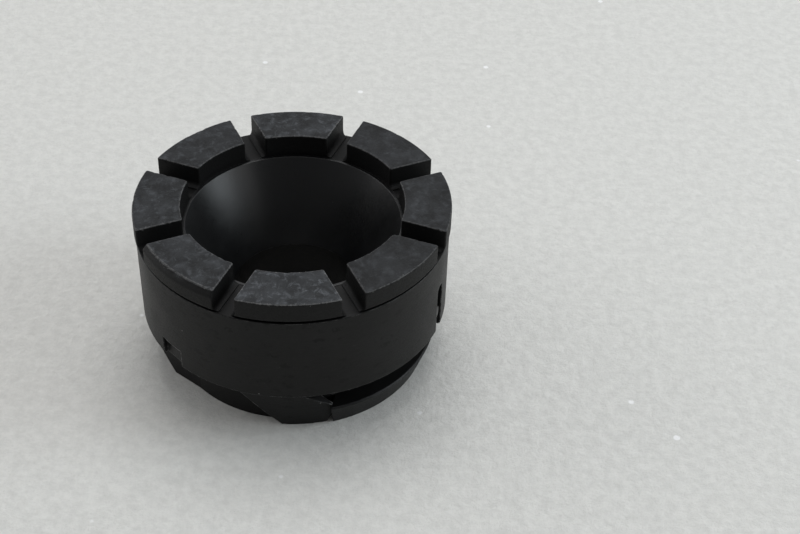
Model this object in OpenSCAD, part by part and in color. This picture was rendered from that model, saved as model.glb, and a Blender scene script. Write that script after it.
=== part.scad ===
// Sliding jaw coupling half: a sleeve with face jaws rides on a hub with a funnel mouth,
// and a wave spring holds the jaws out over the funnel's rim.
// Origin: on the axis, in the plane the coupling stands on. +Z points out of the jaws.

/* [Shaft bore] */
// Diameter of the shaft that the hub fits
shaft_d = 24; // [20:0.5:28]
// Width of the keyway
key_w = 8; // [6:0.5:10]
// Depth of the keyway beyond the bore
key_depth = 3.3; // [2:0.1:4]
// Direction of the keyway, and of the set screw on the key
key_angle = -35; // [-60:1:-10]

/* [Jaws] */
// Number of jaws on the face
jaw_count = 8; // [6:1:10]
// Direction of the first jaw's middle
jaw_angle = -87.2; // [-110:0.1:-70]
// Width of a jaw from the funnel's side to the outside
jaw_w = 9.05; // [7.5:0.05:10]
// Height of a jaw above the sleeve's face
jaw_h = 4.7; // [3.5:0.1:6]
// Width of the slot between two jaws
jaw_slot = 4.4; // [3:0.1:6]
// Overhang of the jaws beyond the sleeve
jaw_overhang = 0.25; // [0.1:0.05:0.8]
// Break on the jaws' top edges
jaw_break = 0.3; // [0.1:0.05:0.5]
// Break on the jaws' outer top edge
jaw_outer_break = 0.5; // [0.2:0.05:0.8]
// Relief under the jaws' outer edge
jaw_relief = 0.8; // [0.3:0.1:1]
// Fillet at the foot of a jaw's flanks
jaw_fillet = 1; // [0.5:0.1:1.4]
// Upright edge of a jaw's foot, below the fillet
jaw_foot = 0.2; // [0.1:0.05:0.4]
// Diameter of the two dowels under each jaw
dowel_d = 3; // [2:0.1:3.5]
// Depth of a dowel in its jaw
dowel_in_jaw = 3; // [2:0.1:3.2]
// Depth of a dowel in the sleeve
dowel_in_sleeve = 3; // [2:0.1:3.2]
// Distance between the two dowels of a jaw
dowel_pitch = 7.6; // [5.5:0.1:9]

/* [Sleeve] */
// Thickness of the sleeve's face ring
web_t = 4.3; // [3.9:0.1:6]
// Lip of the sleeve under the snap ring
ring_lip = 0.5; // [0.4:0.1:1.5]
// Break on the sleeve's lower edge
sleeve_break = 0.4; // [0.2:0.1:0.6]
// Width of a spanner notch in the sleeve's lower edge
notch_w = 5.6; // [4:0.1:12]
// Height of a spanner notch
notch_h = 4.2; // [2:0.1:6]
// Depth of a spanner notch
notch_depth = 1; // [0.6:0.1:2]
// Direction of the first of the two spanner notches
notch_angle = -136; // [-155:1:-125]

/* [Driving dogs] */
// Direction of the first of the two dogs under the sleeve
dog_angle = -97; // [-105:1:-92]
// Reach of a dog at its root, away from the lug that it drives
dog_root_back = 7.2; // [5:0.1:10]
// Reach of a dog at its root, towards the lug
dog_root_front = 4.2; // [3:0.1:9]
// Reach of a dog at its foot, towards the lug
dog_side = 11.9; // [10.5:0.1:13]
// Width of a dog's foot
dog_foot_w = 9.5; // [7:0.1:13]
// Thickness of a dog at its foot
dog_foot_t = 1.3; // [0.8:0.1:2]
// Step from the sleeve's outside to the dogs and lugs
rim_step = 2.05; // [1.2:0.05:2.6]

/* [Hub] */
// Thickness of the hub's flange
flange_t = 5.3; // [4:0.1:7]
// Gap between flange and sleeve at rest
shift_gap = 5.8; // [4.8:0.1:6.6]
// Thickness of a lug beyond the flange's core, at its foot
lug_foot_t = 2; // [1.4:0.1:2.8]
// Break on the lugs' upper edge
lug_break = 0.3; // [0.1:0.05:0.5]
// Angle from a dog's middle to the flat at the far end of its lug
lug_end = 150; // [130:1:155]
// How far that flat lies inside the surface of the flange's core
lug_flat_in = 0.3; // [0.2:0.1:0.8]
// Step from the collar in to the neck
neck_step = 2; // [1.6:0.1:2.6]
// Height of the collar that carries the spring
collar_t = 4; // [3.8:0.1:6]
// Wall between the bore and the cone screws' heads
screw_wall = 1.8; // [1.2:0.1:2.4]
// Depth of the cone screws' heads below the hub's base
head_recess = 1; // [0.5:0.1:2]

/* [Cone] */
// Length of the cone's spigot in the hub
spigot_len = 3.3; // [2.5:0.1:3.6]
// Rim of the spigot outside the cone screws
spigot_rim = 1.4; // [1:0.1:2]
// Step from the spigot out to the cone's outside
cone_step = 1.95; // [1.5:0.05:2.5]
// Width of the funnel's rim
funnel_rim = 0.55; // [0.4:0.05:1]
// Diameter of the cone screws
cone_screw_d = 3; // [2.5:0.1:3.5]
// Thread of a cone screw in the cone
cone_screw_bite = 4.1; // [3:0.1:4.5]

/* [Spring and snap ring] */
// Radial room for the spring between cone and sleeve
spring_room = 3.05; // [2.6:0.05:3.5]
// Height of the spring at rest
spring_h = 7.4; // [6.6:0.1:9]
// Thickness of the spring's strip
strip_t = 0.5; // [0.4:0.05:0.7]
// Thickness of the washer under the spring
seat_t = 0.8; // [0.5:0.1:1.2]
// Thickness of the snap ring
ring_t = 1.6; // [1.2:0.1:2.2]
// Radial width of the snap ring
ring_w = 2.4; // [2:0.1:2.6]
// Depth of the snap ring's groove in the sleeve
ring_bite = 1.05; // [0.8:0.05:1.5]
// Opening of the snap ring
ring_opening = 6; // [5:0.5:9]

/* [Pin and set screws] */
// Diameter of the guide pin
pin_d = 2.5; // [2.4:0.1:3.4]
// Direction of the guide pin and its slot
pin_angle = -18; // [-25:1:-5]
// Diameter of the set screws
set_screw_d = 5; // [4:0.5:5.5]
// Length of the set screws
set_screw_len = 6; // [4:0.5:6.5]

/* [Fits] */
// Radial running clearance of the cone and the collar in the sleeve
run_gap = 0.05; // [0.02:0.01:0.1]
// Clearance of the dowels, screws and snap ring in their seats
seat_gap = 0.05; // [0.02:0.01:0.1]
// Clearance of the guide pin in its slot, each side
pin_gap = 0.1; // [0.06:0.02:0.2]
// Play between a dog's side and the lug that it drives
drive_gap = 0.05; // [0.02:0.01:0.1]
// Radial clearance of the spring and its washer
spring_gap = 0.35; // [0.3:0.05:0.5]
// Radial clearance of the dogs round the flange
dog_gap = 0.3; // [0.3:0.05:0.6]
// Clearance left at the ends of the stroke
end_gap = 0.4; // [0.3:0.05:0.6]

/* [Hidden] */
$fn = 96;
cut = 1;            // how far a cutter runs past the face that it opens
dog_count = 2;
notch_count = 2;
cone_screw_count = 3;

// Radii, from the shaft outwards
shaft_r = shaft_d / 2;
head_d = cone_screw_d * 1.8;
head_h = cone_screw_d;
screw_r = shaft_r + screw_wall + head_d / 2 + seat_gap;
spigot_r = screw_r + cone_screw_d / 2 + spigot_rim;
cone_r = spigot_r + cone_step;
mouth_r = cone_r - funnel_rim;
face_bore_r = cone_r + run_gap;
jaw_in_r = face_bore_r;
jaw_r = jaw_in_r + jaw_w;
dowel_r = (jaw_in_r + jaw_r) / 2;
sleeve_r = jaw_r - jaw_overhang;
collar_r = cone_r + spring_room;
collar_bore_r = collar_r + run_gap;
groove_r = collar_bore_r + ring_bite;
ring_r = groove_r - seat_gap;
neck_r = collar_r - neck_step;
core_r = collar_r;
dog_in_r = core_r + dog_gap;
rim_r = sleeve_r - rim_step;

// Heights, from the standing plane up
sleeve_z = flange_t + shift_gap;
ring_z = sleeve_z + ring_lip;
collar_z = ring_z + ring_t;
hub_top_z = collar_z + collar_t;
spigot_z = hub_top_z - spigot_len;
seat_top_z = hub_top_z + seat_t;
web_z = seat_top_z + spring_h + 2 * seat_gap;
face_z = web_z + web_t;
jaw_top_z = face_z + jaw_h;

// The guide pin and its slot
stroke = shift_gap - end_gap;
pin_z = collar_z + collar_t / 2;
pin_in_r = spigot_r + end_gap;
pin_out_r = sleeve_r - end_gap;
pin_slot = pin_d + 2 * pin_gap;
slot_end_z = pin_z + stroke + end_gap + pin_gap;
set_screw_z = flange_t + shift_gap / 2;

// An outline of [sideways, height], drawn out along +X from one radius to another
module radial_prism(from, to) {
    translate([from, 0, 0])
        rotate([90, 0, 90])
            linear_extrude(to - from) children();
}

module ring_of(count, first) {
    for (k = [0:count - 1])
        rotate(first + k * 360 / count) children();
}

module dowels_of_jaw(d, z, h) {
    for (side = [-1, 1])
        translate([dowel_r, side * dowel_pitch / 2, z]) cylinder(d = d, h = h);
}

module dowel_holes(count, z, h) {
    ring_of(count, jaw_angle) dowels_of_jaw(dowel_d + 2 * seat_gap, z, h);
}

// ---- Jaws -------------------------------------------------------------------

module jaw_ring() {
    rotate_extrude()
        polygon([[jaw_in_r, face_z], [jaw_r - jaw_relief, face_z],
                 [jaw_r, face_z + jaw_relief], [jaw_r, jaw_top_z - jaw_outer_break],
                 [jaw_r - jaw_outer_break, jaw_top_z], [jaw_in_r + jaw_break, jaw_top_z],
                 [jaw_in_r, jaw_top_z - jaw_break]]);
}

// One side of the slot's outline, from the floor up: foot, fillet, wall and top break
function slot_side() =
    let (half = jaw_slot / 2, middle_z = face_z + jaw_foot + jaw_fillet)
    concat([[half - jaw_fillet, face_z - cut]],
           [for (a = [90:-22.5:0]) [half - jaw_fillet * (1 - cos(a)), middle_z - jaw_fillet * sin(a)]],
           [[half, jaw_top_z - jaw_break], [half + jaw_break + cut, jaw_top_z + cut]]);

module slot_cutter() {
    side = slot_side();
    other = [for (k = [len(side) - 1:-1:0]) [-side[k][0], side[k][1]]];
    radial_prism(0, jaw_r + cut) polygon(concat(side, other));
}

module jaw(k) {
    reach = jaw_r + cut;
    half_pitch = 180 / jaw_count;
    across = reach * tan(half_pitch);
    color([0.23, 0.24, 0.25])
        rotate(jaw_angle + (k - 1) * 360 / jaw_count)
            difference() {
                intersection() {
                    jaw_ring();
                    linear_extrude(jaw_top_z + cut)
                        polygon([[0, 0], [reach, -across], [reach, across]]);
                }
                for (side = [-1, 1])
                    rotate(side * half_pitch) slot_cutter();
                dowels_of_jaw(dowel_d + 2 * seat_gap, face_z - cut, dowel_in_jaw + seat_gap + cut);
            }
}

module jaw_dowels() {
    color([0.55, 0.55, 0.56])
        ring_of(jaw_count, jaw_angle)
            dowels_of_jaw(dowel_d, face_z - dowel_in_sleeve, dowel_in_sleeve + dowel_in_jaw);
}

// ---- Sleeve with its driving dogs -------------------------------------------

// A tapered tooth: upright on the side that drives, sloped on both sides above and behind
// Its slopes run on into the sleeve's lip, so that no edge of it lies in the sleeve's lower face
module dog() {
    slope = (dog_side - dog_root_front) / shift_gap;
    intersection() {
        radial_prism(dog_in_r - cut, sleeve_r)
            polygon([[dog_side - dog_foot_w, 0], [dog_side, 0], [dog_side, flange_t],
                     [dog_root_front - slope * ring_lip, ring_z],
                     [-dog_root_back, ring_z], [-dog_root_back, sleeve_z]]);
        rotate_extrude()
            polygon([[dog_in_r, 0], [dog_in_r + dog_foot_t, 0], [rim_r, sleeve_z],
                     [rim_r, ring_z], [dog_in_r, ring_z]]);
    }
}

module sleeve_blank() {
    rotate_extrude()
        polygon([[collar_bore_r, sleeve_z], [sleeve_r - sleeve_break, sleeve_z],
                 [sleeve_r, sleeve_z + sleeve_break], [sleeve_r, face_z],
                 [face_bore_r, face_z], [face_bore_r, web_z], [collar_bore_r, web_z]]);
}

module guide_slot() {
    middle_z = slot_end_z - pin_slot / 2 + pin_d / 2;
    translate([collar_r - cut, -pin_slot / 2, sleeve_z - cut])
        cube([sleeve_r + cut, pin_slot, middle_z - sleeve_z + cut]);
    translate([collar_r - cut, 0, middle_z])
        rotate([0, 90, 0]) cylinder(d = pin_slot, h = sleeve_r + cut);
}

module spanner_notch() {
    translate([sleeve_r - notch_depth, -notch_w / 2, sleeve_z - cut])
        cube([notch_depth + cut, notch_w, notch_h + cut]);
}

module sleeve() {
    color([0.16, 0.165, 0.17])
        difference() {
            union() {
                sleeve_blank();
                ring_of(dog_count, dog_angle) dog();
            }
            rotate_extrude()
                translate([collar_r - cut, ring_z])
                    square([groove_r - collar_r + cut, ring_t + 2 * seat_gap]);
            rotate(pin_angle) guide_slot();
            ring_of(notch_count, notch_angle) spanner_notch();
            dowel_holes(jaw_count, face_z - dowel_in_sleeve - seat_gap,
                        dowel_in_sleeve + seat_gap + cut);
        }
}

module snap_ring() {
    color([0.3, 0.3, 0.31])
        difference() {
            rotate_extrude()
                translate([ring_r - ring_w, ring_z]) square([ring_w, ring_t]);
            rotate(pin_angle)
                translate([ring_r - ring_w - cut, -ring_opening / 2, ring_z - cut])
                    cube([ring_w + 2 * cut, ring_opening, ring_t + 2 * cut]);
        }
}

// ---- Wave spring and its washer ---------------------------------------------

spring_turns = 2;
waves_per_turn = 3.5;
spring_steps = 72;
spring_in_r = cone_r + spring_gap;
spring_out_r = collar_bore_r - spring_gap;
spring_low_z = seat_top_z + seat_gap;

// The strip climbs once per turn and waves, so that crests meet the next turn's troughs
function wave(turn) = 3 * turn + sin(360 * waves_per_turn * turn);

module wave_spring() {
    stations = [for (s = [0:spring_turns * spring_steps]) s / spring_steps];
    waves = [for (turn = stations) wave(turn)];
    scale_z = (spring_h - strip_t) / (max(waves) - min(waves));
    section = [[spring_in_r, 0], [spring_out_r, 0], [spring_out_r, strip_t], [spring_in_r, strip_t]];
    corners = len(section);
    points = [for (turn = stations) for (c = section)
        [c[0] * cos(360 * turn), c[0] * sin(360 * turn),
         spring_low_z + c[1] + (wave(turn) - min(waves)) * scale_z]];
    last = len(stations) - 1;
    sides = [for (s = [0:last - 1]) for (c = [0:corners - 1])
        let (a = s * corners + c, b = s * corners + (c + 1) % corners)
        each [[a, b, b + corners], [a, b + corners, a + corners]]];
    ends = [[3, 2, 1, 0], [for (c = [0:corners - 1]) last * corners + c]];
    color([0.5, 0.5, 0.52]) polyhedron(points, concat(sides, ends));
}

module spring_seat() {
    color([0.45, 0.45, 0.46])
        difference() {
            translate([0, 0, hub_top_z]) cylinder(r = spring_out_r, h = seat_t);
            translate([0, 0, hub_top_z - cut]) cylinder(r = spring_in_r, h = seat_t + 2 * cut);
        }
}

// ---- Hub --------------------------------------------------------------------

// One lug of the flange, in plan: it starts at the dog's side and ends in a flat
module lug_plan() {
    start = dog_side + drive_gap;
    foot = (core_r - lug_flat_in) * [cos(lug_end), sin(lug_end)];
    along = 2 * rim_r * [sin(lug_end), -cos(lug_end)];
    polygon([[0, start], [2 * rim_r, start], foot + along, foot]);
}

module flange() {
    cylinder(r = core_r, h = flange_t);
    intersection() {
        rotate_extrude()
            polygon([[0, 0], [core_r + lug_foot_t, 0], [rim_r, flange_t - lug_break],
                     [rim_r - lug_break, flange_t], [0, flange_t]]);
        linear_extrude(flange_t)
            ring_of(dog_count, dog_angle) lug_plan();
    }
}

module screw_holes() {
    bore = cone_screw_d + 2 * seat_gap;
    ring_of(cone_screw_count, key_angle + 60)
        translate([screw_r, 0, 0]) {
            translate([0, 0, -cut]) cylinder(d = bore, h = spigot_z + 2 * cut);
            translate([0, 0, -cut])
                cylinder(d = head_d + 2 * seat_gap, h = head_recess + head_h + cut);
        }
}

module set_screw_holes() {
    for (turn = [0, -120])
        rotate(key_angle + turn)
            translate([shaft_r - cut, 0, set_screw_z])
                rotate([0, 90, 0]) cylinder(d = set_screw_d + 2 * seat_gap, h = neck_r - shaft_r + cut);
}

module flanged_hub() {
    color([0.17, 0.17, 0.18])
        difference() {
            union() {
                flange();
                cylinder(r = neck_r, h = hub_top_z);
                translate([0, 0, collar_z]) cylinder(r = collar_r, h = collar_t);
            }
            translate([0, 0, -cut]) cylinder(r = shaft_r, h = hub_top_z + 2 * cut);
            translate([0, 0, spigot_z]) cylinder(r = spigot_r + seat_gap, h = spigot_len + cut);
            rotate(key_angle)
                translate([0, -key_w / 2, -cut])
                    cube([shaft_r + key_depth, key_w, spigot_z + cut]);
            screw_holes();
            set_screw_holes();
            rotate(pin_angle)
                translate([pin_in_r, 0, pin_z])
                    rotate([0, 90, 0]) cylinder(d = pin_d + 2 * seat_gap, h = collar_r);
        }
}

module guide_pin() {
    color([0.6, 0.6, 0.6])
        rotate(pin_angle)
            translate([pin_in_r, 0, pin_z])
                rotate([0, 90, 0]) cylinder(d = pin_d, h = pin_out_r - pin_in_r);
}

module set_screws() {
    socket_d = set_screw_d / 2;
    color([0.2, 0.2, 0.2])
        for (turn = [0, -120])
            rotate(key_angle + turn)
                translate([neck_r - set_screw_len - end_gap, 0, set_screw_z])
                    rotate([0, 90, 0])
                        difference() {
                            cylinder(d = set_screw_d, h = set_screw_len);
                            translate([0, 0, set_screw_len / 2])
                                cylinder(d = socket_d, h = set_screw_len, $fn = 6);
                        }
}

// ---- Cone -------------------------------------------------------------------

module centring_cone() {
    color([0.13, 0.13, 0.14])
        difference() {
            rotate_extrude()
                polygon([[shaft_r, spigot_z], [spigot_r, spigot_z], [spigot_r, hub_top_z],
                         [cone_r, hub_top_z], [cone_r, face_z], [mouth_r, face_z]]);
            ring_of(cone_screw_count, key_angle + 60)
                translate([screw_r, 0, spigot_z - cut])
                    cylinder(d = cone_screw_d + 2 * seat_gap, h = cone_screw_bite + seat_gap + cut);
        }
}

module cone_screws() {
    socket_d = head_d / 2;
    head_z = head_recess + head_h;
    color([0.3, 0.3, 0.3])
        ring_of(cone_screw_count, key_angle + 60)
            translate([screw_r, 0, 0])
                difference() {
                    union() {
                        translate([0, 0, head_recess]) cylinder(d = head_d, h = head_h);
                        cylinder(d = cone_screw_d, h = spigot_z + cone_screw_bite);
                    }
                    translate([0, 0, -cut])
                        cylinder(d = head_d, h = head_recess + cut);
                    translate([0, 0, -cut])
                        cylinder(d = socket_d, h = head_recess + head_h / 2 + cut, $fn = 6);
                }
}

for (k = [1:jaw_count])
    jaw(k);
sleeve();
jaw_dowels();
snap_ring();
wave_spring();
spring_seat();
flanged_hub();
centring_cone();
cone_screws();
guide_pin();
set_screws();
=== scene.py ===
import math
import bpy
from mathutils import Matrix, Vector, noise


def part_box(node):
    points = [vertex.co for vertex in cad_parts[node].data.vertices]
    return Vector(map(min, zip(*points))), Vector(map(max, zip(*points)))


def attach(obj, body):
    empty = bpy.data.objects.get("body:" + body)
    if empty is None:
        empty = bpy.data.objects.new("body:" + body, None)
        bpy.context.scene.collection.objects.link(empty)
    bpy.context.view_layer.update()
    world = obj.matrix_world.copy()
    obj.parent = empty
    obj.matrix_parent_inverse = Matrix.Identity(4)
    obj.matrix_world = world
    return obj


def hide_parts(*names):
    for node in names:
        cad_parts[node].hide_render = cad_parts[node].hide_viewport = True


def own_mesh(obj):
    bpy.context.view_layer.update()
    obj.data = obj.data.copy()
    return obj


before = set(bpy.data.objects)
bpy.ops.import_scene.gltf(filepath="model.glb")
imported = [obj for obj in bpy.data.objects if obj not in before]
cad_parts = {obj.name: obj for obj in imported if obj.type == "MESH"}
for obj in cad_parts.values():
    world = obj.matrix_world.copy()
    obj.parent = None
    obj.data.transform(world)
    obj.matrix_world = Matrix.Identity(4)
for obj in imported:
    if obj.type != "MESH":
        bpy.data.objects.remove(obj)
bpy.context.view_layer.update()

# ---- Hub ---------------------------------------------------------------------------------------
# The hub is one turned steel piece with two lugs milled on its flange. It stands on the floor, and
# the shaft goes through it. It is chemically blackened, which leaves a dark satin skin.

MM = 0.001
# How close a softened normal stays to the flat one, as a cosine, where an edge starts to be rubbed
# and where it is rubbed fully.
EDGE_STARTS, EDGE_RUBBED = 0.997, 0.93
# The screen level of rub marks and of dust on blackened steel
SCUFF_LEVEL, DUST_LEVEL = 62, 130


class Finish:
    """A steel finish: a Principled shader with the nodes that vary its colour, gloss and grain."""

    def __init__(self, name):
        self.material = bpy.data.materials.new(name)
        self.material.use_nodes = True
        self.tree = self.material.node_tree
        self.tree.nodes.clear()
        self.shader = self.node("ShaderNodeBsdfPrincipled")
        output = self.node("ShaderNodeOutputMaterial")
        self.tree.links.new(self.shader.outputs["BSDF"], output.inputs["Surface"])
        self.place = self.node("ShaderNodeTexCoord").outputs["Object"]

    def node(self, kind, **settings):
        made = self.tree.nodes.new(kind)
        for key, value in settings.items():
            setattr(made, key, value)
        return made

    def feed(self, socket, value):
        if isinstance(value, bpy.types.NodeSocket):
            self.tree.links.new(value, socket)
        else:
            socket.default_value = value

    def sum(self, operation, *terms):
        made = self.node("ShaderNodeMath", operation=operation)
        for socket, term in zip(made.inputs, terms):
            self.feed(socket, term)
        return made.outputs[0]

    def noise(self, per_mm, detail=4.0, roughness=0.55, distortion=0.0, place=None):
        made = self.node("ShaderNodeTexNoise")
        self.feed(made.inputs["Vector"], place or self.place)
        made.inputs["Scale"].default_value = per_mm / MM
        made.inputs["Detail"].default_value = detail
        made.inputs["Roughness"].default_value = roughness
        made.inputs["Distortion"].default_value = distortion
        return made.outputs["Fac"]

    def between(self, value, low, high, to_low=0.0, to_high=1.0):
        made = self.node("ShaderNodeMapRange", interpolation_type="SMOOTHSTEP")
        self.feed(made.inputs["Value"], value)
        for key, number in (("From Min", low), ("From Max", high),
                            ("To Min", to_low), ("To Max", to_high)):
            self.feed(made.inputs[key], number)
        return made.outputs["Result"]

    def blend(self, share, first, second):
        made = self.node("ShaderNodeMix", data_type="RGBA")
        self.feed(made.inputs["Factor"], share)
        self.feed(made.inputs["A"], first)
        self.feed(made.inputs["B"], second)
        return made.outputs["Result"]

    def stretched(self, x, y, z):
        """The place, drawn out so that noise runs in streaks."""
        made = self.node("ShaderNodeMapping")
        self.feed(made.inputs["Vector"], self.place)
        made.inputs["Scale"].default_value = (x, y, z)
        return made.outputs["Vector"]

    def dust(self, per_mm, share, size, place=None):
        """Sparse round specks: a few cells of a Voronoi pattern, each with a dot in its middle."""
        cells = self.node("ShaderNodeTexVoronoi")
        self.feed(cells.inputs["Vector"], place or self.place)
        cells.inputs["Scale"].default_value = per_mm / MM
        pick = self.node("ShaderNodeSeparateColor")
        self.feed(pick.inputs["Color"], cells.outputs["Color"])
        chosen = self.sum("LESS_THAN", pick.outputs["Red"], share)
        dot = self.between(cells.outputs["Distance"], size, size * 0.6)
        return self.sum("MULTIPLY", chosen, dot)

    def rounded(self, width_mm):
        """The normal of a surface whose sharp edges are broken a little, and where they are."""
        soft = self.node("ShaderNodeBevel", samples=8)
        soft.inputs["Radius"].default_value = width_mm * MM
        dot = self.node("ShaderNodeVectorMath", operation="DOT_PRODUCT")
        self.feed(dot.inputs[0], soft.outputs["Normal"])
        self.feed(dot.inputs[1], self.node("ShaderNodeNewGeometry").outputs["Normal"])
        return soft.outputs["Normal"], self.between(dot.outputs["Value"], EDGE_STARTS, EDGE_RUBBED)

    def cover(self, share, colour):
        """Lays a colour over the finish, as far as share goes."""
        base = self.shader.inputs["Base Color"]
        self.feed(base, self.blend(share, base.links[0].from_socket, colour))

    def height(self):
        """The height over the floor, in metres."""
        parts = self.node("ShaderNodeSeparateXYZ")
        self.feed(parts.inputs["Vector"], self.place)
        return parts.outputs["Z"]

    def relief(self, height, depth_mm, under=None):
        """The normal of a surface that a pattern raises by depth_mm."""
        made = self.node("ShaderNodeBump")
        self.feed(made.inputs["Height"], height)
        made.inputs["Distance"].default_value = depth_mm * MM
        if under is not None:
            self.feed(made.inputs["Normal"], under)
        return made.outputs["Normal"]


def grey(level, tint=(1.0, 1.0, 1.0)):
    """A linear colour from a level on the 0 to 255 scale of a screen."""
    linear = ((level / 255 + 0.055) / 1.055) ** 2.4 if level > 10 else level / 255 / 12.92
    return tuple(linear * part for part in tint) + (1.0,)


def black_oxide(name, dark, light, worn, gloss, wear, grain=1.0, edge_mm=0.2):
    """Blackened steel: dark skin with lighter patches, rubbed bright at its edges, a little dusty."""
    finish = Finish(name)
    patches = finish.between(finish.noise(0.12, detail=6), 0.35, 0.7)
    streaks = finish.noise(0.5, detail=5, place=finish.stretched(1.0, 1.0, 4.0))
    skin = finish.blend(patches, dark, light)
    skin = finish.blend(finish.between(streaks, 0.45, 0.75, 0.0, 0.5), skin, light)
    soft, edge = finish.rounded(edge_mm)
    rubbed = finish.between(finish.noise(0.7, detail=8, roughness=0.72), 0.46, 0.6)
    edge = finish.sum("MULTIPLY", finish.sum("MULTIPLY", edge, rubbed), wear)
    skin = finish.blend(edge, skin, worn)
    scuffs = finish.noise(1.4, detail=8, roughness=0.75, distortion=0.8)
    scuffs = finish.between(scuffs, 0.6, 0.72, 0.0, 0.4)
    skin = finish.blend(finish.sum("MULTIPLY", scuffs, wear), skin, grey(SCUFF_LEVEL))
    specks = finish.sum("MULTIPLY", finish.dust(0.9, 0.04, 0.14), wear)
    finish.feed(finish.shader.inputs["Base Color"], finish.blend(specks, skin, grey(DUST_LEVEL)))
    fine = finish.noise(3.5, detail=6, roughness=0.65)
    rough = finish.between(finish.sum("ADD", fine, finish.sum("MULTIPLY", patches, 0.2)),
                           0.3, 0.9, gloss - 0.06, gloss + 0.1)
    finish.feed(finish.shader.inputs["Roughness"], rough)
    turned = finish.relief(streaks, 0.02 * grain, soft)
    grained = finish.relief(finish.noise(6.0, detail=4), 0.01 * grain, turned)
    finish.feed(finish.shader.inputs["Normal"], grained)
    finish.shader.inputs["Specular IOR Level"].default_value = 0.2
    return finish


def paint(node, finish):
    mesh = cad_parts[node].data
    mesh.materials.clear()
    mesh.materials.append(finish.material)


paint("flanged_hub", black_oxide("hub_black", grey(14), grey(20), grey(84), 0.45, 0.6))

# ---- Set screws and cone screws ------------------------------------------------------------------
# Hardened socket screws, blackened too. Two clamp the shaft through the hub's neck, and three hold
# the cone from below.

screw_finish = black_oxide("screw_black", grey(24), grey(34), grey(120), 0.36, 0.8)
paint("set_screws", screw_finish)
paint("cone_screws", screw_finish)

# ---- Cone ----------------------------------------------------------------------------------------
# A turned steel funnel, finer and smoother than the rest, that guides the mating half's nose. It is
# blackened, its spigot sits in the hub, and the three cone screws hold it from below.

BLUISH = (0.93, 1.0, 1.1)
cone_finish = black_oxide("cone_black", grey(9, BLUISH), grey(12, BLUISH), grey(40, BLUISH),
                          0.33, 0.1, grain=0.35)
cone_finish.shader.inputs["Specular IOR Level"].default_value = 0.5
paint("centring_cone", cone_finish)

# ---- Spring, washer, snap ring and pins ----------------------------------------------------------
# Plain hardened steel inside the coupling, oiled and not blackened. The hub's travel shortens the spring
# towards its upper seat in the sleeve; here the spring is a copy of the CAD strip, carried with the
# sleeve.


def bright_steel(name, level, gloss):
    """Ground or rolled steel with a little oil on it."""
    finish = Finish(name)
    stain = finish.between(finish.noise(0.5, detail=5), 0.4, 0.75)
    finish.feed(finish.shader.inputs["Base Color"], finish.blend(stain, grey(level), grey(level * 0.72)))
    fine = finish.noise(5.0, detail=4)
    finish.feed(finish.shader.inputs["Roughness"], finish.between(fine, 0.3, 0.7, gloss, gloss + 0.12))
    soft, edge = finish.rounded(0.1)
    finish.feed(finish.shader.inputs["Normal"], finish.relief(fine, 0.006, soft))
    finish.shader.inputs["Metallic"].default_value = 1.0
    return finish


spring_finish = bright_steel("spring_steel", 140, 0.28)
paint("snap_ring", spring_finish)
spring = bpy.data.objects.new("shortening_spring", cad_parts["wave_spring"].data.copy())
bpy.context.scene.collection.objects.link(spring)
spring.data.materials.clear()
spring.data.materials.append(spring_finish.material)
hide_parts("wave_spring")
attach(spring, "sleeve")
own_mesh(spring)
paint("spring_seat", bright_steel("washer_steel", 165, 0.32))
paint("guide_pin", bright_steel("pin_steel", 120, 0.3))
paint("jaw_dowels", bright_steel("dowel_steel", 175, 0.25))

# ---- Sleeve ---------------------------------------------------------------------------------------
# The sliding sleeve with its two driving dogs, turned, milled and blackened. Its top face, under the
# jaws and on the slot floors, is painted nearly black as shade, and small dents are painted on its wall
# as dark spots of shade.

JAW_FOOT_Z = min(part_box("jaw_1")[0][2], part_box("jaw_2")[0][2])
JOINT_SHADE_BELOW = 0.15 * MM
JOINT_SHADE_LEVEL, DENT_SHADE_LEVEL = 6, 4
sleeve_finish = black_oxide("sleeve_black", grey(11), grey(21), grey(104), 0.45, 1.0, edge_mm=0.4)
# Painted shade: the sleeve's top face, in the joint under the jaws and on the slot floors, is painted
# nearly black.
joint_shade = sleeve_finish.between(sleeve_finish.height(), JAW_FOOT_Z - JOINT_SHADE_BELOW, JAW_FOOT_Z)
sleeve_finish.cover(joint_shade, grey(JOINT_SHADE_LEVEL))
# Painted shade: small dark spots on the wall stand in for the shade inside dents.
dent_shade = sleeve_finish.dust(0.3, 0.6, 0.46, sleeve_finish.stretched(1.0, 1.0, 2.2))
ragged = sleeve_finish.between(sleeve_finish.noise(0.9, detail=6, roughness=0.7), 0.46, 0.54)
sleeve_finish.cover(sleeve_finish.sum("MULTIPLY", dent_shade, ragged), grey(DENT_SHADE_LEVEL))
paint("sleeve", sleeve_finish)

# ---- Jaws -----------------------------------------------------------------------------------------
# Eight hardened blocks with worn tops, pinned on the sleeve. Handling has rounded and nicked their
# edges, so each is a fine mesh that follows the CAD block and wears it down a little.

JAW_SLOT = 4.4 * MM
JAW_FILLET = 1.0 * MM
JAW_FOOT = 0.2 * MM
JAW_RELIEF = 0.8 * MM
CORNER_RADIUS = 0.3 * MM
# The top edges are rounded by use, more on the outer side. Of the last jaw's outer edge a chamfer is
# left, this wide and this steep.
WORN_RADIUS = 0.28 * MM
WORN_OUTER = 0.45 * MM
WORN_CHAMFER = 0.9 * MM
CHAMFER_SLOPE = 1.3
TOP_RIM = 0.9 * MM
# The mesh: steps along a jaw's arcs and flanks, round its corners, up its fillet, wall and top edge,
# and across its rim.
ARC_STEPS, FLANK_STEPS = 96, 48
CORNER_STEPS, FILLET_STEPS, WALL_STEPS, EDGE_STEPS, RIM_STEPS = 4, 6, 12, 6, 4
SAME_PLACE = 0.01 * MM
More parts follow.
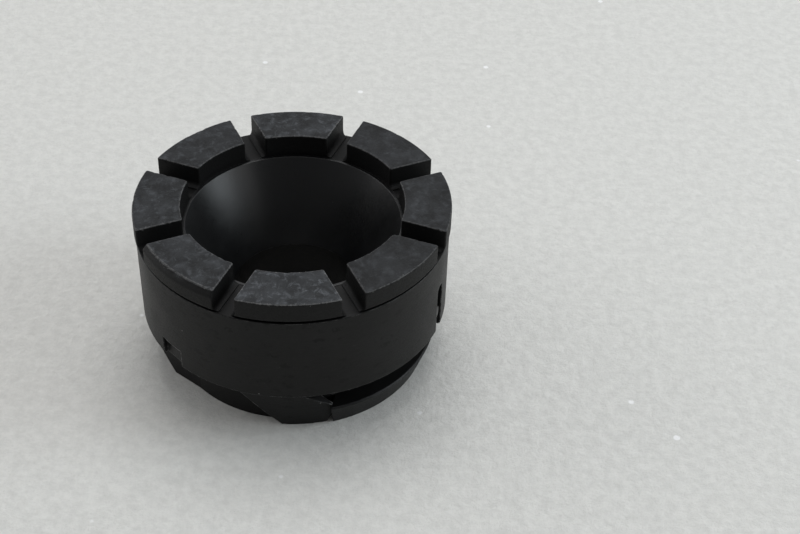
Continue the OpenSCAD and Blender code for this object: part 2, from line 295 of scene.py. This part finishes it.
# Nicks along the top edges: how far in they reach, how deep they go, and the point inside the block
# that they go towards, from its outer side and its top.
NICK_REACH_MM, NICK_SHARE, NICK_DEPTH_MM = 0.9, 0.4, 0.5
NICK_TOWARDS_IN, NICK_TOWARDS_DOWN = 4.5 * MM, 2.4 * MM
# How far the top is worn down, with its broad and its fine unevenness
TOP_WORN_MM, TOP_BROAD_MM, TOP_FINE_MM = 0.018, 0.012, 0.006
jaw_names = sorted(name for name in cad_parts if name[:4] == "jaw_" and name[4:].isdigit())
HALF_PITCH = math.pi / len(jaw_names)


class JawSize:
    """What the worn mesh takes from a CAD block: its radii, its heights and its direction."""

    def __init__(self, name, chamfer):
        self.chamfer = chamfer
        places = [vertex.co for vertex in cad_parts[name].data.vertices]
        self.inner = min(place.xy.length for place in places)
        self.outer = max(place.xy.length for place in places)
        self.foot = min(place.z for place in places)
        self.top = max(place.z for place in places)
        rim = [place.xy for place in places if place.xy.length > self.outer - SAME_PLACE]
        middle = sum(rim, Vector((0.0, 0.0)))
        self.turn = math.atan2(middle.y, middle.x)


def steps_along(length, count):
    """Distances along a side, closer together in the rounded corners at its ends."""
    near = [CORNER_RADIUS * k / CORNER_STEPS for k in range(CORNER_STEPS)]
    inside = length - 2 * CORNER_RADIUS
    between = count - 2 * CORNER_STEPS
    middle = [CORNER_RADIUS + inside * k / between for k in range(between + 1)]
    return near + middle + [length - distance for distance in reversed(near)]


def rounded_corner(distance, length):
    """Moves a distance along a side, and a depth into the block, round the corner's arc."""
    from_end = min(distance, length - distance)
    if from_end >= CORNER_RADIUS:
        return distance, 0.0
    turn = math.pi / 4 * (1 - from_end / CORNER_RADIUS)
    along = CORNER_RADIUS * (1 - math.sin(turn))
    depth = CORNER_RADIUS * (1 - math.cos(turn))
    return (along if distance < length / 2 else length - along), depth


def outline(size, flank, outer, inner):
    """The block's four sides seen from above, each moved inwards by its own inset."""
    offset = JAW_SLOT / 2 + flank
    far, near = size.outer - outer, size.inner + inner
    reach = {radius: HALF_PITCH - math.asin(offset / radius) for radius in (far, near)}
    sides = []
    for radius, sense in ((far, 1), (near, -1)):
        length = 2 * reach[radius] * radius
        side = []
        for distance in steps_along(length, ARC_STEPS):
            along, depth = rounded_corner(distance, length)
            angle = sense * (along / radius - reach[radius])
            side.append(Vector(((radius - sense * depth) * math.cos(angle),
                                (radius - sense * depth) * math.sin(angle))))
        sides.append(side)
    start, end = (math.sqrt(radius ** 2 - offset ** 2) for radius in (far, near))
    for sense in (1, -1):
        ahead = Vector((math.cos(HALF_PITCH), sense * math.sin(HALF_PITCH)))
        across = Vector((math.sin(HALF_PITCH), -sense * math.cos(HALF_PITCH)))
        side = []
        for distance in steps_along(start - end, FLANK_STEPS):
            along, depth = rounded_corner(distance, start - end)
            side.append(ahead * (start - along) + across * (offset + depth))
        sides.append(side)
    outer_side, inner_side, left, right = sides
    return outer_side, left, inner_side, right[::-1]


def wall_stations(size):
    """Insets of flanks, outer and inner side, with the height, from the block's foot to its top."""
    def relief(z):
        below = max(JAW_RELIEF - (z - size.foot), 0.0)
        return below + max(z - size.top + size.chamfer * CHAMFER_SLOPE, 0.0) / CHAMFER_SLOPE
    stations = [(-JAW_FILLET, relief(z), 0.0, z) for z in (size.foot, size.foot + JAW_FOOT)]
    middle = size.foot + JAW_FOOT + JAW_FILLET
    for k in range(1, FILLET_STEPS):
        turn = math.pi / 2 * (1 - k / FILLET_STEPS)
        z = middle - JAW_FILLET * math.sin(turn)
        stations.append((JAW_FILLET * (math.cos(turn) - 1), relief(z), 0.0, z))
    shoulder = size.top - WORN_RADIUS
    for k in range(WALL_STEPS + 1):
        z = middle + (shoulder - middle) * k / WALL_STEPS
        stations.append((0.0, relief(z), 0.0, z))
    for k in range(1, EDGE_STEPS + 1):
        turn = math.pi / (2 * EDGE_STEPS) * k
        inset = 1 - math.cos(turn)
        z = shoulder + WORN_RADIUS * math.sin(turn)
        stations.append((WORN_RADIUS * inset, WORN_OUTER * inset + relief(z), WORN_RADIUS * inset, z))
    for k in range(1, RIM_STEPS + 1):
        inset = WORN_RADIUS + (TOP_RIM - WORN_RADIUS) * k / RIM_STEPS
        outer = inset + (WORN_OUTER - WORN_RADIUS + size.chamfer) * (1 - k / RIM_STEPS)
        stations.append((inset, outer, inset, size.top))
    return stations


def top_place(sides, column, row):
    """A point of the top between four sides, by blending the sides that face each other."""
    outer_side, left, inner_side, right = sides
    u, v = column / ARC_STEPS, row / FLANK_STEPS
    inner_back, right_back = inner_side[::-1], right[::-1]
    rows = outer_side[column] * (1 - v) + inner_back[column] * v
    columns = right_back[row] * (1 - u) + left[row] * u
    corners = ((outer_side[0] * (1 - u) + outer_side[-1] * u) * (1 - v)
               + (inner_back[0] * (1 - u) + inner_back[-1] * u) * v)
    return rows + columns - corners


def edge_distance(size, place):
    """How far a point of the block is from the nearest of the top's edges."""
    radius = place.xy.length
    angle = abs(math.atan2(place.y, place.x))
    flank = radius * math.sin(HALF_PITCH - angle) - JAW_SLOT / 2
    inside = max(min(size.outer - size.chamfer - radius, radius - size.inner, flank), 0.0)
    return math.hypot(inside, size.top - place.z)


def wear_down(size, place, seed):
    """A point of the block after use: nicks along the edges and a slightly uneven top."""
    middle = Vector((size.outer - NICK_TOWARDS_IN, 0.0, size.top - NICK_TOWARDS_DOWN))
    near = max(1 - edge_distance(size, place) / (NICK_REACH_MM * MM), 0.0)
    where = place / MM + Vector((seed * 17.0, seed * 5.0, 0.0))
    broad_nick = max(noise.noise(where * 0.8) - 0.3, 0.0) * 0.8
    fine_nick = max(noise.noise(where * 3.3) - 0.34, 0.0) * 0.3
    inwards = (middle - place).normalized()
    worn = place + inwards * min(broad_nick + fine_nick, NICK_SHARE) * near * NICK_DEPTH_MM * MM
    if place.z > size.top - SAME_PLACE:
        uneven = TOP_BROAD_MM * noise.noise(where * 1.6)
        worn.z -= (TOP_WORN_MM + uneven + TOP_FINE_MM * noise.noise(where * 4.1)) * MM
    return worn


def worn_jaw(name, size, seed):
    """A jaw's piece, whose mesh has rings of points up its sides and a grid over its top."""
    places, faces = [], []
    loop = 2 * (ARC_STEPS + FLANK_STEPS)
    stations = wall_stations(size)
    for flank, outer, inner, z in stations:
        sides = outline(size, flank, outer, inner)
        for side in sides:
            places += [Vector((point.x, point.y, z)) for point in side[:-1]]
    for level in range(len(stations) - 1):
        low, high = level * loop, (level + 1) * loop
        for k in range(loop):
            after = (k + 1) % loop
            faces.append((low + k, low + after, high + after, high + k))
    faces.append(tuple(reversed(range(loop))))
    last = (len(stations) - 1) * loop
    inside = len(places)
    for row in range(1, FLANK_STEPS):
        for column in range(1, ARC_STEPS):
            point = top_place(sides, column, row)
            places.append(Vector((point.x, point.y, size.top)))

    def top_index(column, row):
        if row == 0:
            return last + column
        if column == ARC_STEPS:
            return last + ARC_STEPS + row
        if row == FLANK_STEPS:
            return last + ARC_STEPS + FLANK_STEPS + (ARC_STEPS - column)
        if column == 0:
            return last + (loop - row)
        return inside + (row - 1) * (ARC_STEPS - 1) + column - 1

    for row in range(FLANK_STEPS):
        for column in range(ARC_STEPS):
            faces.append((top_index(column, row), top_index(column + 1, row),
                          top_index(column + 1, row + 1), top_index(column, row + 1)))
    turned = Matrix.Rotation(size.turn, 3, "Z")
    mesh = bpy.data.meshes.new(name + "_worn")
    mesh.from_pydata([turned @ wear_down(size, place, seed) for place in places], [], faces)
    mesh.polygons.foreach_set("use_smooth", [True] * len(faces))
    mesh.set_sharp_from_angle(angle=math.radians(40))
    rim = mesh.attributes.new("edge_mm", "FLOAT", "POINT")
    rim.data.foreach_set("value", [edge_distance(size, place) / MM for place in places])
    piece = bpy.data.objects.new(name + "_worn", mesh)
    bpy.context.scene.collection.objects.link(piece)
    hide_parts(name)
    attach(piece, "sleeve")
    return piece


# The rubbed skin fades out this far under the top, so that the foot's fillet stays dark.
SKIN_BELOW = (2 * MM, 1.5 * MM)
# Where the crease under a chamfer's bright rim lies, from the top's edge; it is painted dark as shade
CREASE_MM = 0.42


def jaw_finish(name, size, wear, scuffs):
    """Black skin worn through to grey: clouds on the top, specks, scuffs and a bright thin rim."""
    finish = Finish(name)
    facing = finish.node("ShaderNodeSeparateXYZ")
    finish.feed(facing.inputs["Vector"], finish.node("ShaderNodeNewGeometry").outputs["True Normal"])
    top = finish.between(facing.outputs["Z"], 0.6, 0.95)
    skin_from, skin_above = size.top - SKIN_BELOW[0], size.top - SKIN_BELOW[1]
    top = finish.sum("MULTIPLY", top, finish.between(finish.height(), skin_from, skin_above))
    cloud = finish.between(finish.noise(0.25, detail=7, roughness=0.6), 0.36, 0.66)
    skin = finish.blend(cloud, grey(16 + 14 * wear, BLUISH), grey(32 + 18 * wear, BLUISH))
    smudge = finish.between(finish.noise(0.35, detail=6, roughness=0.6, distortion=0.4), 0.46, 0.7)
    skin = finish.blend(finish.sum("MULTIPLY", smudge, 0.3 + 0.55 * wear), skin, grey(62, BLUISH))
    flecks = finish.between(finish.noise(0.7, detail=7, roughness=0.7, distortion=0.5), 0.5, 0.68)
    skin = finish.blend(finish.sum("MULTIPLY", flecks, wear), skin, grey(84, BLUISH))
    specks = finish.between(finish.noise(2.6, detail=6, roughness=0.8), 0.6, 0.72)
    skin = finish.blend(finish.sum("MULTIPLY", specks, 0.7 * wear), skin, grey(120))
    pits = finish.between(finish.noise(1.7, detail=5, roughness=0.7), 0.36, 0.28)
    skin = finish.blend(finish.sum("MULTIPLY", pits, 0.6), skin, grey(14))
    away = finish.node("ShaderNodeAttribute", attribute_name="edge_mm").outputs["Fac"]
    # Painted shade: the walls turn darker low down, towards the foot, as the shade in the joint under
    # the jaw.
    wall = finish.blend(finish.between(away, 3.1, 3.8), grey(13), grey(6))
    colour = finish.blend(top, wall, skin)
    # Painted shade: a dark line along the crease under the chamfer, off the top.
    crease_shade = finish.sum("ABSOLUTE", finish.sum("SUBTRACT", away, CREASE_MM))
    crease_shade = finish.between(crease_shade, 0.16, 0.06, 0.0, 0.8 if size.chamfer else 0.0)
    crease_shade = finish.sum("MULTIPLY", crease_shade, finish.sum("SUBTRACT", 1.0, top))
    colour = finish.blend(crease_shade, colour, grey(3))
    ragged = finish.noise(1.6, detail=8, roughness=0.72)
    line = finish.between(ragged, 0.4, 0.52, 0.15, 0.8)
    line = finish.sum("MULTIPLY", finish.between(away, 0.24, 0.15), line)
    reach = finish.between(ragged, 0.52, 0.7, 0.0, scuffs)
    scuff = finish.between(finish.sum("SUBTRACT", away, reach), 0.1, 0.0)
    scuff = finish.sum("MULTIPLY", scuff, finish.between(ragged, 0.52, 0.58))
    rim = finish.sum("MULTIPLY", finish.sum("MAXIMUM", line, scuff), 0.45 + 0.5 * wear)
    colour = finish.blend(rim, colour, grey(100))
    finish.feed(finish.shader.inputs["Base Color"], colour)
    fine = finish.noise(3.0, detail=7, roughness=0.72)
    finish.feed(finish.shader.inputs["Roughness"], finish.between(fine, 0.3, 0.7, 0.5, 0.68))
    finish.shader.inputs["Specular IOR Level"].default_value = 0.22
    scratches = finish.relief(finish.noise(1.2, detail=5, place=finish.stretched(1.0, 7.0, 1.0)), 0.02)
    finish.feed(finish.shader.inputs["Normal"], finish.relief(fine, 0.03, scratches))
    return finish


# The jaws count round from the front one: how rubbed each top is, and how far the bright rim reaches
# in, in millimetres. The last one's outer edge is worn down to a chamfer.
JAW_WEAR = (1.0, 0.15, 0.22, 0.18, 0.65, 0.35, 0.4, 0.5)
JAW_SCUFFS = (0.55, 0.7, 0.4, 0.35, 0.5, 0.45, 0.6, 0.6)
jaws = {}
for number, name in enumerate(jaw_names):
    size = JawSize(name, WORN_CHAMFER if name == jaw_names[-1] else 0.0)
    jaws[name] = worn_jaw(name, size, number)
    finish = jaw_finish(name + "_black", size, JAW_WEAR[number], JAW_SCUFFS[number])
    jaws[name].data.materials.append(finish.material)

# ---- Floor ----------------------------------------------------------------------------------------
# A pale sheet of packing foam, a little mottled and uneven, with sparse brighter specks. The coupling
# stands on it, and it fills the photograph's view.

FLOOR_REACH = 1.2
FOAM_TINT = (1.0, 0.995, 0.955)
FOAM_DARK, FOAM_LIGHT, FOAM_SPECKS = 204, 216, 236
corners = [(x * FLOOR_REACH, y * FLOOR_REACH, 0) for x, y in ((-1, -1), (1, -1), (1, 1), (-1, 1))]
floor_mesh = bpy.data.meshes.new("floor")
floor_mesh.from_pydata(corners, [], [(0, 1, 2, 3)])
floor = bpy.data.objects.new("floor", floor_mesh)
bpy.context.scene.collection.objects.link(floor)
foam = Finish("pale_foam")
mottle = foam.between(foam.noise(0.4, detail=8, roughness=0.75), 0.34, 0.66)
foam_colour = foam.blend(mottle, grey(FOAM_DARK, FOAM_TINT), grey(FOAM_LIGHT, FOAM_TINT))
foam.feed(foam.shader.inputs["Base Color"], foam_colour)
foam.cover(foam.dust(0.12, 0.12, 0.1), grey(FOAM_SPECKS))
foam.shader.inputs["Roughness"].default_value = 0.85
foam.shader.inputs["Specular IOR Level"].default_value = 0.15
foam.feed(foam.shader.inputs["Normal"], foam.relief(foam.noise(0.5, detail=8, roughness=0.7), 0.35))
floor_mesh.materials.append(foam.material)

# ---- Light ----------------------------------------------------------------------------------------
# An overcast room: a bright ceiling, a bluish window on the right, pale walls on both sides, and walls
# lighter behind the object than on the photographer's side. The camera sees a plain pale background.

scene = bpy.context.scene
scene.view_settings.view_transform = "Standard"
WALL_AWAY, WALL_NEAR = 0.54, 0.17
BACKGROUND = 0.85
LIGHTER_SIDE = (-0.2, 0.75, 0.62)
room = bpy.data.worlds.new("soft_room")
scene.world = room
room.use_nodes = True
walls = room.node_tree.nodes["Background"]
walls.inputs["Color"].default_value = (0.97, 0.98, 1.0, 1.0)


def room_node(kind, links, **settings):
    made = room.node_tree.nodes.new(kind)
    for key, value in settings.items():
        setattr(made, key, value)
    for socket, source in links.items():
        room.node_tree.links.new(source, made.inputs[socket])
    return made


directions = room_node("ShaderNodeTexCoord", {}).outputs["Generated"]
lighter = room_node("ShaderNodeVectorMath", {0: directions}, operation="DOT_PRODUCT")
lighter.inputs[1].default_value = LIGHTER_SIDE
shade = room_node("ShaderNodeMapRange", {"Value": lighter.outputs["Value"]},
                  interpolation_type="SMOOTHSTEP")
for key, number in (("From Min", -0.5), ("From Max", 0.7),
                    ("To Min", WALL_NEAR), ("To Max", WALL_AWAY)):
    shade.inputs[key].default_value = number
direct = room_node("ShaderNodeLightPath", {}).outputs["Is Camera Ray"]
strength = room_node("ShaderNodeMix", {"Factor": direct, "A": shade.outputs["Result"]},
                     data_type="FLOAT")
strength.inputs["B"].default_value = BACKGROUND
room.node_tree.links.new(strength.outputs["Result"], walls.inputs["Strength"])


def soft_lamp(name, place, size, watts, colour=(1.0, 1.0, 1.0)):
    data = bpy.data.lights.new(name, "AREA")
    data.shape = "DISK"
    data.size = size
    data.energy = watts
    data.color = colour
    lamp = bpy.data.objects.new(name, data)
    scene.collection.objects.link(lamp)
    lamp.location = place
    lamp.rotation_euler = (-Vector(place)).to_track_quat("-Z", "Y").to_euler()


soft_lamp("ceiling", (0.02, 0.45, 1.3), 1.0, 7.8)
soft_lamp("window", (0.9, 0.02, 0.45), 0.5, 3.7, (0.86, 0.95, 1.0))
soft_lamp("right_wall", (0.95, -0.35, 0.3), 0.8, 1.3)
soft_lamp("left_wall", (-0.9, 0.25, 0.35), 0.8, 2.2)

# ---- Camera ---------------------------------------------------------------------------------------
# The photograph was taken from close by, over the front jaw, with the camera tilted down by forty
# degrees and turned a little. Image points are in the photograph's frame.

PHOTO_W, PHOTO_H = 800, 534
camera_data = bpy.data.cameras.new("camera")
camera = bpy.data.objects.new("camera", camera_data)
scene.collection.objects.link(camera)
scene.camera = camera
camera_data.sensor_fit = "AUTO"
camera_data.sensor_width = 36.0
camera_data.lens = 64.23
camera_data.clip_start = 0.01
camera_data.clip_end = 20.0
CAMERA_PLACE = Vector((0.020905, -0.217610, 0.200089))
CAMERA_DOWN = math.radians(39.818)
CAMERA_ROLL = math.radians(1.907)
camera.matrix_world = (Matrix.Translation(CAMERA_PLACE)
                       @ Matrix.Rotation(math.pi / 2 - CAMERA_DOWN, 4, "X")
                       @ Matrix.Rotation(CAMERA_ROLL, 4, "Z"))

# The object's edges, and corners of the jaws' tops. The corners set the camera.
IMAGE_EDGES = {
    "left": (0, min, 132.5), "right": (0, max, 450.5),
    "top": (1, min, 111.8), "bottom": (1, max, 421.9)}
IMAGE_CORNERS = {
    "front_left": ("jaw_1", 235.0, 298.0), "front_right": ("jaw_1", 341.5, 297.8),
    "right_front_near": ("jaw_2", 363.0, 291.5), "right_front_far": ("jaw_2", 437.5, 244.5),
    "right_near": ("jaw_3", 443.5, 229.5), "right_far": ("jaw_3", 438.0, 173.0),
    "back_right_near": ("jaw_4", 429.5, 159.5), "back_right_far": ("jaw_4", 364.5, 123.5),
    "back_right": ("jaw_5", 340.5, 117.5), "back_left": ("jaw_5", 252.5, 116.5),
    "back_left_near": ("jaw_6", 159.5, 158.8), "back_left_far": ("jaw_6", 231.0, 122.0),
    "left_near": ("jaw_7", 139.0, 227.5), "left_front_near": ("jaw_8", 216.5, 291.0),
    "left_front_far": ("jaw_8", 146.0, 242.0)}
HOLE_FAR_Y = 243.0
CORNER_DEPTH = 0.2 * MM


def image_place(place):
    """Where a place in the scene shows in the photograph's frame."""
    seen = camera.matrix_world.inverted() @ place
    scale = max(PHOTO_W, PHOTO_H) * camera_data.lens / camera_data.sensor_width / -seen.z
    return PHOTO_W / 2 + scale * seen.x, PHOTO_H / 2 - scale * seen.y


def image_places(piece, keep=lambda place: True):
    return [image_place(vertex.co) for vertex in piece.data.vertices if keep(vertex.co)]


def furthest(places, x, y):
    """The one of some image places that lies furthest from their middle towards x, y."""
    middle_x = sum(place[0] for place in places) / len(places)
    middle_y = sum(place[1] for place in places) / len(places)
    return max(places, key=lambda place: place[0] * (x - middle_x) + place[1] * (y - middle_y))


outside = [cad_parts[name] for name in ("sleeve", "flanged_hub")] + list(jaws.values())
whole = [place for piece in outside for place in image_places(piece)]
shown = {name: {"xy"[axis]: end(place[axis] for place in whole) - edge}
         for name, (axis, end, edge) in IMAGE_EDGES.items()}
for name, (jaw, x, y) in IMAGE_CORNERS.items():
    top_z = max(vertex.co.z for vertex in jaws[jaw].data.vertices)
    found = furthest(image_places(jaws[jaw], lambda place: place.z > top_z - CORNER_DEPTH), x, y)
    shown[name] = {"x": found[0] - x, "y": found[1] - y}
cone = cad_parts["centring_cone"]
hole_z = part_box("centring_cone")[0][2]
hole_r = min(vertex.co.xy.length for vertex in cone.data.vertices)
hole = image_places(cone, lambda place: (place.xy.length < hole_r + CORNER_DEPTH
                                         and place.z < hole_z + CORNER_DEPTH))
shown["hole_far"] = {"y": min(place[1] for place in hole) - HOLE_FAR_Y}
